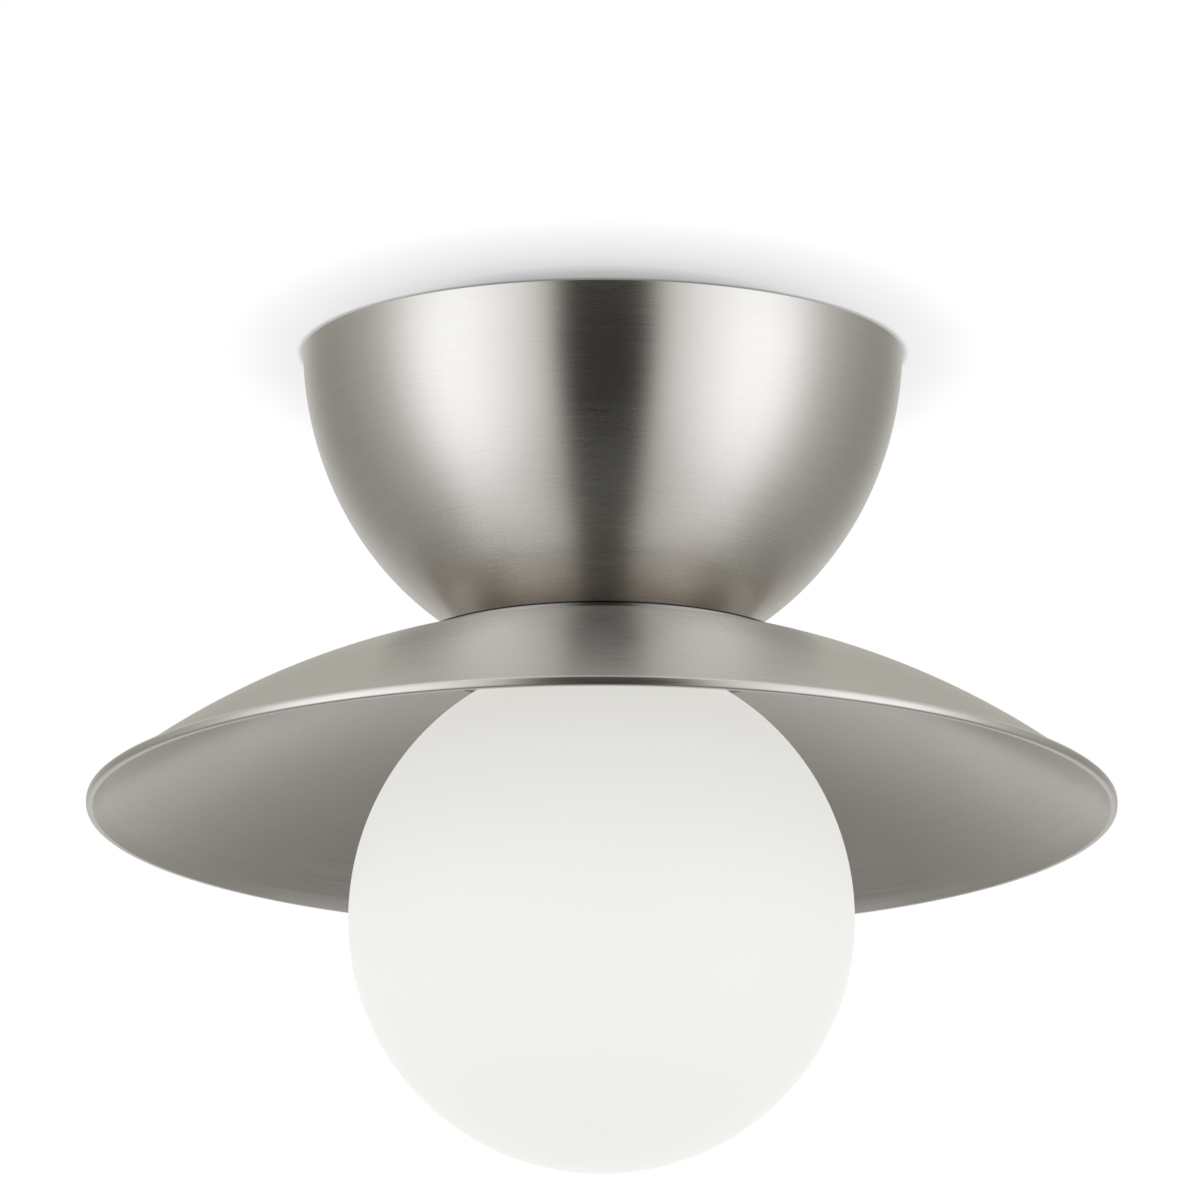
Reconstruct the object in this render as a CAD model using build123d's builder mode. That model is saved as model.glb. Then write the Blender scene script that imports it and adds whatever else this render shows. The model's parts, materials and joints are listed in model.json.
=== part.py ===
"""Flush mount ceiling light with a spun canopy, a dish shade and an opal glass globe.

The ceiling is the plane z = 0 and everything hangs below it. The origin is the centre of
the ceiling face. All sizes are in millimetres.
"""
from build123d import *
from math import acos, cos, pi, radians, sin, sqrt, tan
import os

os.makedirs("parts", exist_ok=True)

# ---------------------------------------------------------------- driving dimensions
# Clearances
seat_gap = 0.3            # between two pieces that move against each other
thread_gap = 0.05         # radial, around a thread drawn as a plain cylinder
hole_gap = 0.25           # radial, around a screw in a clearance hole
running_gap = 0.6         # radial, between the globe's neck and the fitter's thread

# Canopy: part of an ellipse spun round the vertical axis, with a flat floor
canopy_radius = 103.5
canopy_depth = 104.5
canopy_floor_radius = 34.4
canopy_curve_rise = 2.85  # the ellipse is centred this far above the ceiling
canopy_wall = 1.0

# Dish shade: a shallow spherical dome with a flat raised centre and a rolled bead
shade_bead_ring = 176.1
shade_bead_radius = 1.73
shade_dome_radius = 281.9
shade_wall = 1.2
plateau_radius = 68.0
plateau_step = 1.93
plateau_round = 1.0
plateau_foot_round = 0.6

# Globe fitter: a spun cup under the shade
fitter_wall = 1.2
fitter_lip = 3.2
fitter_round = 1.5

# Globe: a sphere below its equator and a slightly taller half above it
globe_radius = 87.3
globe_shoulder_height = 91.4
globe_wall = 3.0
neck_radius = 38.5
neck_length = 11.0
neck_top_gap = 1.3
shoulder_spans = 6        # spans of the curve drawn along the shoulder
gasket_height = 1.5
gasket_width = 4.3

# Ceiling strap and the two studs
strap_length = 104.0
strap_width = 22.0
strap_thickness = 2.0
strap_corner = 6.0
box_screw_near = 69.85    # 2 3/4 in between the box screws
box_screw_far = 88.9      # 3 1/2 in between the box screws
box_screw_slot_width = 4.8
stud_spacing = 50.0
stud_radius = 2.0
stud_recess = 0.2
stud_engagement = 4.2
stud_nut_flats = 7.0
stud_nut_height = 3.2
cap_hex_height = 3.2
cap_dome_radius = 3.2
cap_bore_spare = 0.6
stud_point = 0.5

# Bonding screw and lead
ground_screw_offset = 13.0
ground_screw_radius = 2.0
ground_head_radius = 3.8
ground_head_height = 2.5
lug_thickness = 0.8
lug_ring_width = 3.0
lug_neck = 1.0
lug_neck_width = 3.4
lug_barrel_radius = 1.9
lug_barrel_length = 6.0

# Hollow nipple and what it clamps
nipple_radius = 5.0
nipple_bore = 3.25
nipple_nut_flats = 14.0
nipple_nut_height = 4.0
nipple_spare = 3.4        # thread that stands out above the upper nut
nipple_lower_spare = 1.1  # thread that stands out below the lower nut
canopy_washer_radius = 18.0
canopy_washer_thickness = 1.5
lock_washer_radius = 8.0
lock_washer_thickness = 0.8
lock_tooth_count = 12
lock_tooth_gap = 1.4
lock_tooth_depth = 1.6
bushing_flange = 1.2
bushing_depth = 4.0
bushing_bore = 2.55

# Lampholder
bracket_height = 18.1
bracket_width = 14.0
bracket_wall = 1.2
bracket_leg_spacing = 19.4
bracket_foot_span = 35.0
bracket_bend = 1.6
bracket_screw_spacing = 28.6
bracket_screw_radius = 1.5
bracket_screw_length = 8.0
small_head_radius = 2.8
small_head_height = 2.0
holder_radius = 19.5
holder_height = 41.0
holder_web = 13.0
holder_round = 2.0
holder_mouth_round = 1.0
terminal_thickness = 0.8
terminal_width = 7.0
terminal_reach = 17.4
terminal_screw_offset = 14.5
terminal_screw_radius = 1.4
terminal_screw_length = 6.0
rivet_radius = 1.2
rivet_head_radius = 2.0
rivet_head_height = 0.8
rivet_offset = 9.5
socket_wall = 0.4
socket_flange_hole = 6.8
socket_length = 25.0
socket_fit_gap = 0.1
contact_wall = 0.5
contact_height = 3.0
contact_width = 5.0
contact_length = 8.0
contact_bend = 1.15

# Lamp thread, and the A19 lamp
thread_pitch = 3.63
thread_height = 0.7
thread_ridges = 5
lamp_thread_radius = 13.05
lamp_thread_gap = 0.35
lamp_length = 105.0
lamp_radius = 30.0
lamp_tip_radius = 4.5
lamp_tip_height = 1.2
lamp_insulator_height = 3.4
lamp_insulator_radius = 5.2
lamp_base_length = 22.4
lamp_base_wall = 0.4
lamp_collar_radius = 13.7
lamp_housing_length = 30.0
lamp_diffuser_wall = 1.5
lamp_spigot_length = 3.0
lamp_board_radius = 19.0
lamp_board_thickness = 1.6

# Leads and wire connectors
lead_radius = 1.1
lead_offset = 1.25        # each lead's distance from the nipple's axis
lead_bend = 6.6
lead_rise = 12.0          # straight stretch of each lead above the upper bushing
lead_spread = 30.0        # largest bend radius of a loose stretch
line_loose_points = [(9, 17, -60), (28, 28, -50), (50, 26, -52)]
neutral_loose_points = [(12, -16, -58), (31, -25, -51), (53, -19, -56)]
ground_loose_points = [(-42, 36, -76), (-46, 40, -42), (-33, 38, -12)]
ground_lower_turn = (-25, 25)  # where the ground lead leaves the lower lug's level
ground_upper_turn = 27.0       # how far out it comes back in to the upper lug
connector_length = 21.0
connector_mouth_radius = 5.2
connector_tip_radius = 3.6
connector_wall = 1.2
connector_cup_depth = 8.0
connector_grip = 10.0     # length of lead inside the connector
connector_fin_width = 1.2
connector_fin_reach = 6.6
connector_fin_length = 9.0

# ---------------------------------------------------------------- levels down the axis
z_plateau = -canopy_depth
z_canopy_floor = z_plateau + canopy_wall
z_fitter_top = z_plateau - shade_wall
z_fitter_bottom = z_fitter_top - fitter_wall
z_dome_centre = z_plateau - plateau_step - sqrt(shade_dome_radius**2 - plateau_radius**2)
z_neck_top = z_fitter_bottom - neck_top_gap
z_shoulder = z_neck_top - neck_length
z_globe = z_shoulder - globe_shoulder_height * sqrt(1 - (neck_radius / globe_radius) ** 2)
z_fitter_lip = z_shoulder + gasket_height + 2 * seat_gap

z_washer_top = z_canopy_floor + canopy_washer_thickness
z_upper_lock = z_washer_top + lug_thickness + lock_washer_thickness
z_upper_nut = z_upper_lock + nipple_nut_height
z_nipple_top = z_upper_nut + nipple_spare
z_bracket_plate = z_fitter_bottom - bracket_wall
z_lower_lock = z_bracket_plate - lock_washer_thickness
z_lower_nut = z_lower_lock - nipple_nut_height
z_nipple_bottom = z_lower_nut - nipple_lower_spare

z_holder_top = z_fitter_bottom - bracket_height
z_holder_bottom = z_holder_top - holder_height
z_socket_top = z_holder_top - holder_web
z_terminal_top = z_holder_top + terminal_thickness
z_lead_end = z_terminal_top + seat_gap + lead_radius
z_tip = z_socket_top - contact_height - seat_gap
z_lamp_insulator = z_tip - lamp_tip_height
z_lamp_base = z_lamp_insulator - lamp_insulator_height
z_lamp_collar = z_lamp_base - lamp_base_length
z_lamp_joint = z_lamp_collar - lamp_housing_length
z_lamp_centre = z_tip - lamp_length + lamp_radius

stud_centres = ((-stud_spacing / 2, 0), (stud_spacing / 2, 0))
socket_thread_radius = lamp_thread_radius + lamp_thread_gap


# ---------------------------------------------------------------- shared shapes
def nearest(sketch, x, y):
    """The sketch's vertex nearest to a point, for rounding one corner."""
    return sketch.vertices().sort_by_distance((x, y, 0))[0]


def stack_holes(z_low, thickness):
    """Cut the nipple's hole and the two stud holes through one sheet of the stack."""
    with BuildSketch(Plane.XY.offset(z_low)) as holes:
        Circle(nipple_radius + hole_gap)
        with Locations(*stud_centres):
            Circle(stud_radius + hole_gap)
    extrude(holes.sketch, amount=thickness, mode=Mode.SUBTRACT)


def hex_nut(z_low, height, across_flats, bore_radius, centres=((0, 0),)):
    """Hexagon nuts standing on the level z_low, one on each centre."""
    with BuildSketch(Plane.XY.offset(z_low)) as hexagons:
        with Locations(*centres):
            RegularPolygon(radius=across_flats / 2, side_count=6, major_radius=False)
            Circle(bore_radius, mode=Mode.SUBTRACT)
    extrude(hexagons.sketch, amount=height)


def lock_washer(z_low):
    """An external-tooth lock washer round the nipple."""
    with BuildSketch(Plane.XY.offset(z_low)) as star:
        Circle(lock_washer_radius)
        Circle(nipple_radius + hole_gap, mode=Mode.SUBTRACT)
        with PolarLocations(lock_washer_radius, lock_tooth_count):
            Rectangle(2 * lock_tooth_depth, lock_tooth_gap, mode=Mode.SUBTRACT)
    extrude(star.sketch, amount=lock_washer_thickness)


def headed_pins(z_seat, centres, head_radius, head_height, shank_radius, shank_length, up=1):
    """Screws or rivets: heads on the up side of z_seat and shanks on the other side."""
    with BuildSketch(Plane.XY.offset(z_seat)) as heads:
        with Locations(*centres):
            Circle(head_radius)
    extrude(heads.sketch, amount=up * head_height)
    with BuildSketch(Plane.XY.offset(z_seat)) as shanks:
        with Locations(*centres):
            Circle(shank_radius)
    extrude(shanks.sketch, amount=-up * shank_length)


def ring_terminal(seat, hole_radius):
    """A crimp ring lug lying on the seat plane, its barrel along the plane's x axis."""
    barrel_start = hole_radius + lug_ring_width + lug_neck
    with BuildSketch(seat) as ring:
        Circle(hole_radius + lug_ring_width)
        Rectangle(barrel_start + lug_neck, lug_neck_width, align=(Align.MIN, Align.CENTER))
        Circle(hole_radius, mode=Mode.SUBTRACT)
    extrude(ring.sketch, amount=lug_thickness)
    barrel_origin = seat.from_local_coords(Vector(barrel_start, 0, lug_barrel_radius))
    barrel_plane = Plane(origin=barrel_origin, z_dir=seat.x_dir)
    with BuildSketch(barrel_plane) as barrel:
        Circle(lug_barrel_radius)
    extrude(barrel.sketch, amount=lug_barrel_length)
    with BuildSketch(barrel_plane) as barrel_bore:
        Circle(lead_radius + thread_gap)
    extrude(barrel_bore.sketch, amount=lug_barrel_length, mode=Mode.SUBTRACT)


def lug_lead_start(hole_radius):
    """Distance from a lug's hole to the end of the lead inside its barrel."""
    return hole_radius + lug_ring_width + 2 * lug_neck


def rolled_shell(z_top, z_bottom, r_inner, wall):
    """Profile of a rolled screw shell, ridge and groove, in the XZ plane.

    The ridges are rings at the thread's pitch: the plain rings let the lamp slide straight
    out, where the real one follows the helix.
    """
    steps = [(0.0, z_top)]
    z_thread = (z_top + z_bottom) / 2 + thread_ridges * thread_pitch / 2
    steps += [
        (thread_height * (k % 2), z_thread - k * thread_pitch / 2)
        for k in range(2 * thread_ridges + 1)
    ]
    steps.append((0.0, z_bottom))
    inner = [(r_inner + rise, z) for rise, z in steps]
    outer = [(r_inner + wall + rise, z) for rise, z in reversed(steps)]
    with BuildLine() as outline:
        Polyline(*inner, *outer, close=True)
    make_face(outline.edges())


def corner_radii(points, limit):
    """Bend radius for each corner of a lead's route, as large as its two runs allow."""
    radii = []
    for before, corner, after in zip(points, points[1:], points[2:]):
        run_in = Vector(*corner) - Vector(*before)
        run_out = Vector(*after) - Vector(*corner)
        turn = radians(run_in.get_angle(run_out))
        radius = 0.45 * min(run_in.length, run_out.length) / tan(turn / 2)
        radii.append(min(radius, limit))
    return radii


def lead(points, radii):
    """A round lead along straight runs joined by tangent arcs."""
    with BuildLine() as route:
        FilletPolyline(*points, radius=radii)
    with BuildSketch(Plane(origin=route.line @ 0, z_dir=route.line % 0)) as section:
        Circle(lead_radius)
    sweep(section.sketch, path=route.line)
    length = sum(edge.length for edge in route.edges())
    print("lead radii", [round(r, 1) for r in radii], "length", round(length, 1))
    return length


def wire_connector(route):
    """A twist-on connector over the last stretch of a lead's route."""
    end = Vector(*route[-1])
    along = (end - Vector(*route[-2])).normalized()
    mouth = end - along * connector_grip
    sideways = along.cross(Vector(0, 0, 1)).normalized()
    with BuildSketch(Plane(origin=mouth, x_dir=sideways, z_dir=sideways.cross(along))) as section:
        with BuildLine():
            Polyline(
                (lead_radius + thread_gap, connector_cup_depth),
                (connector_mouth_radius - connector_wall, connector_cup_depth),
                (connector_mouth_radius - connector_wall, 0),
                (connector_mouth_radius, 0),
                (connector_tip_radius, connector_length),
                (0, connector_length),
                (0, connector_grip + seat_gap),
                (lead_radius + thread_gap, connector_grip + seat_gap),
                close=True,
            )
        make_face()
    revolve(section.sketch, axis=Axis(mouth, along))
    with BuildSketch(Plane(origin=mouth, x_dir=sideways, z_dir=along)) as fins:
        with PolarLocations((connector_mouth_radius + connector_fin_reach) / 2, 2):
            Rectangle(connector_fin_reach - connector_wall, connector_fin_width)
        Circle(connector_mouth_radius - connector_wall / 2, mode=Mode.SUBTRACT)
    extrude(fins.sketch, amount=connector_fin_length)


# ---------------------------------------------------------------- ceiling strap and studs
slot_centre = (box_screw_near + box_screw_far) / 4
slot_travel = (box_screw_far - box_screw_near) / 2

with BuildPart() as mounting_strap:
    with BuildSketch(Plane.XY.offset(-strap_thickness)):
        RectangleRounded(strap_length, strap_width, strap_corner)
        with Locations((-slot_centre, 0), (slot_centre, 0)):
            SlotCenterToCenter(slot_travel, box_screw_slot_width, mode=Mode.SUBTRACT)
        with Locations(*stud_centres):
            Circle(stud_radius + thread_gap, mode=Mode.SUBTRACT)
        with Locations((-ground_screw_offset, 0)):
            Circle(ground_screw_radius + thread_gap, mode=Mode.SUBTRACT)
        Circle(nipple_radius + hole_gap, mode=Mode.SUBTRACT)
    extrude(amount=strap_thickness)
mounting_strap.part.label = "mounting_strap"
export_step(mounting_strap.part, "parts/mounting_strap.step")

with BuildPart() as mounting_studs:
    with BuildSketch(Plane.XY.offset(z_fitter_bottom - stud_engagement)):
        with Locations(*stud_centres):
            Circle(stud_radius)
    extrude(amount=-z_fitter_bottom + stud_engagement - stud_recess)
    chamfer(mounting_studs.edges().filter_by(GeomType.CIRCLE), stud_point)
mounting_studs.part.label = "mounting_studs"
export_step(mounting_studs.part, "parts/mounting_studs.step")

with BuildPart() as stud_lock_nuts:
    hex_nut(
        -strap_thickness - stud_nut_height,
        stud_nut_height,
        stud_nut_flats,
        stud_radius + thread_gap,
        stud_centres,
    )
stud_lock_nuts.part.label = "stud_lock_nuts"
export_step(stud_lock_nuts.part, "parts/stud_lock_nuts.step")

with BuildPart() as stud_cap_nuts:
    hex_nut(
        z_fitter_bottom - cap_hex_height,
        cap_hex_height,
        stud_nut_flats,
        stud_radius + thread_gap,
        stud_centres,
    )
    with Locations(*[(x, y, z_fitter_bottom - cap_hex_height) for x, y in stud_centres]):
        Sphere(cap_dome_radius)
    with Locations(*[(x, y, z_fitter_bottom) for x, y in stud_centres]):
        Cylinder(
            stud_radius + thread_gap,
            stud_engagement + cap_bore_spare,
            align=(Align.CENTER, Align.CENTER, Align.MAX),
            mode=Mode.SUBTRACT,
        )
stud_cap_nuts.part.label = "stud_cap_nuts"
export_step(stud_cap_nuts.part, "parts/stud_cap_nuts.step")

# ---------------------------------------------------------------- canopy
# The ellipse passes through the rim at the ceiling and through the edge of the floor.
floor_drop = canopy_depth + canopy_curve_rise
canopy_curve_height = sqrt(
    ((canopy_radius * floor_drop) ** 2 - (canopy_floor_radius * canopy_curve_rise) ** 2)
    / (canopy_radius**2 - canopy_floor_radius**2)
)
canopy_curve_radius = canopy_radius / sqrt(1 - (canopy_curve_rise / canopy_curve_height) ** 2)

with BuildPart() as canopy:
    with BuildSketch(Plane.XZ):
        with Locations((0, canopy_curve_rise)):
            Ellipse(canopy_curve_radius, canopy_curve_height)
            Ellipse(
                canopy_curve_radius - canopy_wall,
                canopy_curve_height - canopy_wall,
                mode=Mode.SUBTRACT,
            )
        with Locations((0, z_plateau)):
            Rectangle(canopy_floor_radius, canopy_wall, align=(Align.MIN, Align.MIN))
        Rectangle(
            canopy_curve_radius,
            canopy_depth,
            align=(Align.MIN, Align.MAX),
            mode=Mode.INTERSECT,
        )
    revolve(axis=Axis.Z)
    stack_holes(z_plateau, canopy_wall)
canopy.part.label = "canopy"
export_step(canopy.part, "parts/canopy.step")

# ---------------------------------------------------------------- dish shade
def dome_height(radius, distance):
    """Level of the dome of the given sphere radius at a distance from the axis."""
    return z_dome_centre + sqrt(radius**2 - distance**2)


shade_inner_dome = shade_dome_radius - shade_wall
riser_inner = plateau_radius - shade_wall

with BuildPart() as shade_dish:
    with BuildSketch(Plane.XZ) as shade_profile:
        with BuildLine():
            foot = (plateau_radius, dome_height(shade_dome_radius, plateau_radius))
            brim_top = (shade_bead_ring, dome_height(shade_dome_radius, shade_bead_ring))
            brim_under = (shade_bead_ring, dome_height(shade_inner_dome, shade_bead_ring))
            under_foot = (riser_inner, dome_height(shade_inner_dome, riser_inner))
            Line(foot, (plateau_radius, z_plateau))
            Line((plateau_radius, z_plateau), (0, z_plateau))
            Line((0, z_plateau), (0, z_fitter_top))
            Line((0, z_fitter_top), (riser_inner, z_fitter_top))
            Line((riser_inner, z_fitter_top), under_foot)
            RadiusArc(under_foot, brim_under, shade_inner_dome)
            Line(brim_under, brim_top)
            RadiusArc(brim_top, foot, -shade_dome_radius)
        make_face()
        fillet(nearest(shade_profile, plateau_radius, z_plateau), plateau_round)
        fillet(nearest(shade_profile, *foot), plateau_foot_round)
        with Locations(brim_top):
            Circle(shade_bead_radius)
    revolve(axis=Axis.Z)
    stack_holes(z_fitter_top, shade_wall)
shade_dish.part.label = "shade_dish"
export_step(shade_dish.part, "parts/shade_dish.step")

# ---------------------------------------------------------------- globe fitter
fitter_bore = neck_radius + running_gap
fitter_outer = fitter_bore + fitter_wall

with BuildPart() as globe_fitter:
    with BuildSketch(Plane.XZ) as fitter_profile:
        with BuildLine():
            Polyline(
                (0, z_fitter_top),
                (fitter_outer, z_fitter_top),
                (fitter_outer, z_fitter_lip + fitter_wall),
                (fitter_outer + fitter_lip, z_fitter_lip + fitter_wall),
                (fitter_outer + fitter_lip, z_fitter_lip),
                (fitter_bore, z_fitter_lip),
                (fitter_bore, z_fitter_bottom),
                (0, z_fitter_bottom),
                close=True,
            )
        make_face()
        fillet(nearest(fitter_profile, fitter_outer, z_fitter_top), fitter_round)
    revolve(axis=Axis.Z)
    stack_holes(z_fitter_bottom, fitter_wall)
globe_fitter.part.label = "globe_fitter"
export_step(globe_fitter.part, "parts/globe_fitter.step")

# ---------------------------------------------------------------- globe and gasket
def shoulder_level(distance):
    """Level of the globe's outer shoulder at a distance from the axis."""
    return z_globe + globe_shoulder_height * sqrt(1 - (distance / globe_radius) ** 2)


globe_bore = globe_radius - globe_wall
neck_bore = neck_radius - globe_wall
inner_height = globe_shoulder_height - globe_wall


def shoulder_curve(radius, height, neck):
    """Curve along the upper half of an ellipse, from the equator in to the neck."""
    end = acos(neck / radius)
    turns = [end * k / shoulder_spans for k in range(shoulder_spans + 1)]
    points = [(radius * cos(turn), z_globe + height * sin(turn)) for turn in turns]
    return Spline(*points, tangents=((0, 1), (-radius * sin(end), height * cos(end))))


with BuildPart() as globe_glass:
    with BuildSketch(Plane.XZ) as globe_profile:
        with BuildLine():
            outside = CenterArc((0, z_globe), globe_radius, -90, 90)
            shoulder_curve(globe_radius, globe_shoulder_height, neck_radius)
            inner_shoulder = shoulder_curve(globe_bore, inner_height, neck_bore)
            inside = CenterArc((0, z_globe), globe_bore, -90, 90)
            Polyline(
                (neck_radius, z_shoulder),
                (neck_radius, z_neck_top),
                (neck_bore, z_neck_top),
                inner_shoulder @ 1,
            )
            Line(outside @ 0, inside @ 0)
        make_face()
        fillet(nearest(globe_profile, neck_radius, z_neck_top), globe_wall / 3)
        fillet(nearest(globe_profile, neck_bore, z_neck_top), globe_wall / 3)
    revolve(axis=Axis.Z)
globe_glass.part.label = "globe_glass"
export_step(globe_glass.part, "parts/globe_glass.step")

gasket_bore = neck_radius + seat_gap
gasket_outer = gasket_bore + gasket_width
z_gasket_top = z_fitter_lip - seat_gap

with BuildPart() as globe_gasket:
    with BuildSketch(Plane.XZ):
        with BuildLine():
            Polyline(
                (gasket_bore, z_gasket_top),
                (gasket_outer, z_gasket_top),
                (gasket_outer, shoulder_level(gasket_outer) + seat_gap),
                (gasket_bore, shoulder_level(gasket_bore) + seat_gap),
                close=True,
            )
        make_face()
    revolve(axis=Axis.Z)
globe_gasket.part.label = "globe_gasket"
export_step(globe_gasket.part, "parts/globe_gasket.step")

# ---------------------------------------------------------------- nipple, nuts and washers
with BuildPart() as wiring_nipple:
    with BuildSketch(Plane.XY.offset(z_nipple_bottom)):
        Circle(nipple_radius)
        Circle(nipple_bore, mode=Mode.SUBTRACT)
    extrude(amount=z_nipple_top - z_nipple_bottom)
wiring_nipple.part.label = "wiring_nipple"
export_step(wiring_nipple.part, "parts/wiring_nipple.step")

with BuildPart() as canopy_washer:
    with BuildSketch(Plane.XY.offset(z_canopy_floor)):
        Circle(canopy_washer_radius)
        Circle(nipple_radius + hole_gap, mode=Mode.SUBTRACT)
    extrude(amount=canopy_washer_thickness)
canopy_washer.part.label = "canopy_washer"
export_step(canopy_washer.part, "parts/canopy_washer.step")

with BuildPart() as upper_lock_washer:
    lock_washer(z_upper_lock - lock_washer_thickness)
upper_lock_washer.part.label = "upper_lock_washer"
export_step(upper_lock_washer.part, "parts/upper_lock_washer.step")

with BuildPart() as lower_lock_washer:
    lock_washer(z_lower_lock)
lower_lock_washer.part.label = "lower_lock_washer"
export_step(lower_lock_washer.part, "parts/lower_lock_washer.step")

with BuildPart() as upper_nipple_nut:
    hex_nut(z_upper_lock, nipple_nut_height, nipple_nut_flats, nipple_radius + thread_gap)
upper_nipple_nut.part.label = "upper_nipple_nut"
export_step(upper_nipple_nut.part, "parts/upper_nipple_nut.step")

with BuildPart() as lower_nipple_nut:
    hex_nut(z_lower_nut, nipple_nut_height, nipple_nut_flats, nipple_radius + thread_gap)
lower_nipple_nut.part.label = "lower_nipple_nut"
export_step(lower_nipple_nut.part, "parts/lower_nipple_nut.step")

with BuildPart() as wire_bushings:
    for z_end, outward in ((z_nipple_top, 1), (z_nipple_bottom, -1)):
        with BuildSketch(Plane.XY.offset(z_end)):
            Circle(nipple_radius)
            Circle(bushing_bore, mode=Mode.SUBTRACT)
        extrude(amount=outward * bushing_flange)
        with BuildSketch(Plane.XY.offset(z_end)):
            Circle(nipple_bore - thread_gap)
            Circle(bushing_bore, mode=Mode.SUBTRACT)
        extrude(amount=-outward * bushing_depth)
wire_bushings.part.label = "wire_bushings"
export_step(wire_bushings.part, "parts/wire_bushings.step")

# ---------------------------------------------------------------- lampholder
bracket_screw_centres = ((-bracket_screw_spacing / 2, 0), (bracket_screw_spacing / 2, 0))
z_foot_top = z_holder_top + bracket_wall

with BuildPart() as lampholder_bracket:
    with BuildSketch(Plane.XZ):
        with BuildLine():
            FilletPolyline(
                (-bracket_foot_span / 2, z_holder_top + bracket_wall / 2),
                (-bracket_leg_spacing / 2, z_holder_top + bracket_wall / 2),
                (-bracket_leg_spacing / 2, z_fitter_bottom - bracket_wall / 2),
                (bracket_leg_spacing / 2, z_fitter_bottom - bracket_wall / 2),
                (bracket_leg_spacing / 2, z_holder_top + bracket_wall / 2),
                (bracket_foot_span / 2, z_holder_top + bracket_wall / 2),
                radius=bracket_bend,
            )
        trace(line_width=bracket_wall)
    extrude(amount=bracket_width / 2, both=True)
    with BuildSketch(Plane.XY.offset(z_bracket_plate)):
        Circle(nipple_radius + hole_gap)
    extrude(amount=bracket_wall, mode=Mode.SUBTRACT)
    with BuildSketch(Plane.XY.offset(z_holder_top)):
        with Locations(*bracket_screw_centres):
            Circle(bracket_screw_radius + hole_gap)
    extrude(amount=bracket_wall, mode=Mode.SUBTRACT)
lampholder_bracket.part.label = "lampholder_bracket"
export_step(lampholder_bracket.part, "parts/lampholder_bracket.step")

with BuildPart() as bracket_screws:
    headed_pins(
        z_foot_top,
        bracket_screw_centres,
        small_head_radius,
        small_head_height,
        bracket_screw_radius,
        bracket_screw_length,
    )
bracket_screws.part.label = "bracket_screws"
export_step(bracket_screws.part, "parts/bracket_screws.step")

line_rivet = (0, 0)
neutral_rivet = (0, -rivet_offset)
terminal_screw_centres = ((0, -terminal_screw_offset), (0, terminal_screw_offset))
holder_bore = socket_thread_radius + thread_height + socket_wall + socket_fit_gap

with BuildPart() as lampholder_body:
    with BuildSketch(Plane.XY.offset(z_holder_bottom)):
        Circle(holder_radius)
    extrude(amount=holder_height)
    fillet(lampholder_body.edges().group_by(Axis.Z)[-1], holder_round)
    with BuildSketch(Plane.XY.offset(z_holder_bottom)):
        Circle(holder_bore)
    extrude(amount=holder_height - holder_web, mode=Mode.SUBTRACT)
    fillet(lampholder_body.edges().group_by(Axis.Z)[0], holder_mouth_round)
    with BuildSketch(Plane.XY.offset(z_holder_top)):
        with Locations(*bracket_screw_centres):
            Circle(bracket_screw_radius + thread_gap)
    extrude(amount=-bracket_screw_length, mode=Mode.SUBTRACT)
    with BuildSketch(Plane.XY.offset(z_holder_top)):
        with Locations(*terminal_screw_centres):
            Circle(terminal_screw_radius + thread_gap)
    extrude(amount=-terminal_screw_length, mode=Mode.SUBTRACT)
    with BuildSketch(Plane.XY.offset(z_holder_top)):
        with Locations(line_rivet, neutral_rivet):
            Circle(rivet_radius + thread_gap)
    extrude(amount=-holder_web, mode=Mode.SUBTRACT)
lampholder_body.part.label = "lampholder_body"
export_step(lampholder_body.part, "parts/lampholder_body.step")

socket_bore = socket_thread_radius
with BuildPart() as socket_shell:
    with BuildSketch(Plane.XZ):
        rolled_shell(z_socket_top, z_socket_top - socket_length, socket_bore, socket_wall)
        with Locations((socket_flange_hole, z_socket_top)):
            Rectangle(
                socket_bore + socket_wall - socket_flange_hole,
                socket_wall,
                align=(Align.MIN, Align.MAX),
            )
    revolve(axis=Axis.Z)
    with BuildSketch(Plane.XY.offset(z_socket_top)):
        with Locations(neutral_rivet):
            Circle(rivet_radius + thread_gap)
    extrude(amount=-socket_wall, mode=Mode.SUBTRACT)
socket_shell.part.label = "socket_shell"
export_step(socket_shell.part, "parts/socket_shell.step")

with BuildPart() as center_contact:
    with BuildSketch(Plane.XZ):
        with BuildLine():
            FilletPolyline(
                (-contact_length / 2, z_socket_top - contact_wall / 2),
                (contact_length / 2 + contact_bend, z_socket_top - contact_wall / 2),
                (contact_length / 2 + contact_bend, z_socket_top - contact_height + contact_wall / 2),
                (-contact_length / 2, z_socket_top - contact_height + contact_wall / 2),
                radius=contact_bend,
            )
        trace(line_width=contact_wall)
    extrude(amount=contact_width / 2, both=True)
    with BuildSketch(Plane.XY.offset(z_socket_top)):
        with Locations(line_rivet):
            Circle(rivet_radius + thread_gap)
    extrude(amount=-contact_wall, mode=Mode.SUBTRACT)
center_contact.part.label = "center_contact"
export_step(center_contact.part, "parts/center_contact.step")

with BuildPart() as contact_rivets:
    headed_pins(
        z_socket_top - contact_wall,
        (line_rivet,),
        rivet_head_radius,
        rivet_head_height,
        rivet_radius,
        holder_web + contact_wall + terminal_thickness,
        up=-1,
    )
    headed_pins(
        z_socket_top - socket_wall,
        (neutral_rivet,),
        rivet_head_radius,
        rivet_head_height,
        rivet_radius,
        holder_web + socket_wall + terminal_thickness,
        up=-1,
    )
contact_rivets.part.label = "contact_rivets"
export_step(contact_rivets.part, "parts/contact_rivets.step")


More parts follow.
